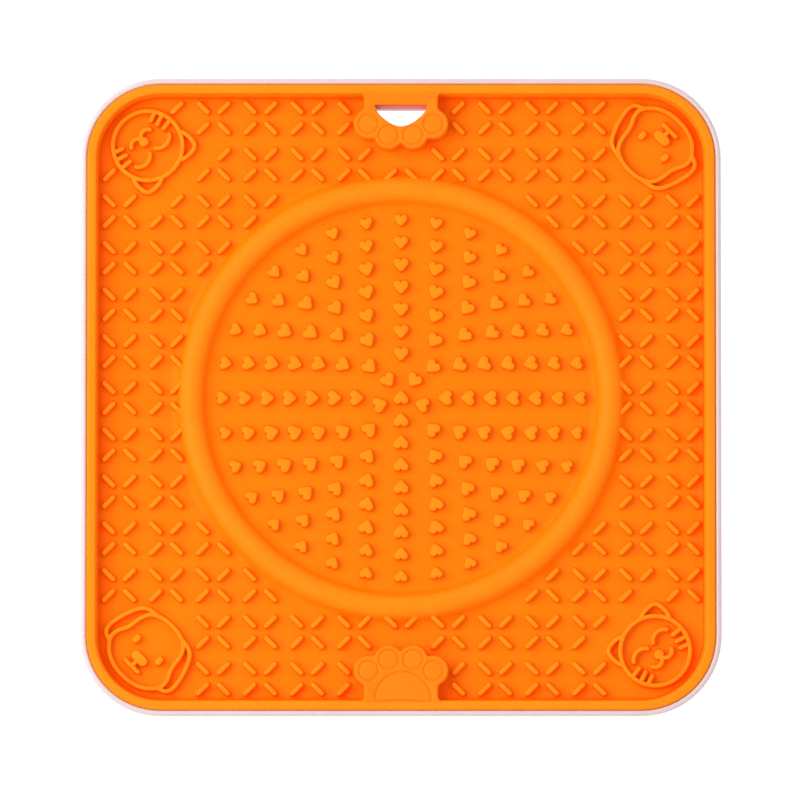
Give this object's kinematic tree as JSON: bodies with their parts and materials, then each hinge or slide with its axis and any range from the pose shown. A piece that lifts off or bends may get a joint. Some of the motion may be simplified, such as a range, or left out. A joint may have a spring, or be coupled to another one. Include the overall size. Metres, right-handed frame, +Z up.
{
  "type": "lick mat",
  "caption": "Soft mat with a moulded licking surface and paw-shaped tabs, nested in a thin rigid tray on suction cups, with a hanging hole.",
  "frame": {"origin": "middle of the footprint, in the plane of the suction cups' lips", "axes": "+Z up out of the licking surface, +Y towards the side with the hanging hole, +X to the right seen from above"},
  "size_m": [0.2, 0.2, 0.0172],
  "materials": {
    "orange_silicone": "soft satin silicone, orange",
    "tray_plastic": "smooth pale pink plastic, slightly translucent",
    "clear_soft": "clear soft plastic, slightly milky"
  },
  "bodies": {
    "tray": {"base_tray": "tray_plastic"},
    "mat": {"silicone_mat": "orange_silicone"},
    "cup_front_left": {"suction_cup_front_left": "clear_soft"},
    "cup_front_right": {"suction_cup_front_right": "clear_soft"},
    "cup_rear_left": {"suction_cup_rear_left": "clear_soft"},
    "cup_rear_right": {"suction_cup_rear_right": "clear_soft"}
  },
  "joints": [
    {"name": "mat_lift", "type": "slide", "parent": "tray", "child": "mat", "axis": [0, 0, 1], "range_m": [0, 0.03]},
    {"name": "pull_front_left", "type": "slide", "parent": "tray", "child": "cup_front_left", "axis": [0, 0, -1], "range_m": [0, 0.012]},
    {"name": "pull_front_right", "type": "slide", "parent": "tray", "child": "cup_front_right", "axis": [0, 0, -1], "range_m": [0, 0.012]},
    {"name": "pull_rear_left", "type": "slide", "parent": "tray", "child": "cup_rear_left", "axis": [0, 0, -1], "range_m": [0, 0.012]},
    {"name": "pull_rear_right", "type": "slide", "parent": "tray", "child": "cup_rear_right", "axis": [0, 0, -1], "range_m": [0, 0.012]}
  ]
}
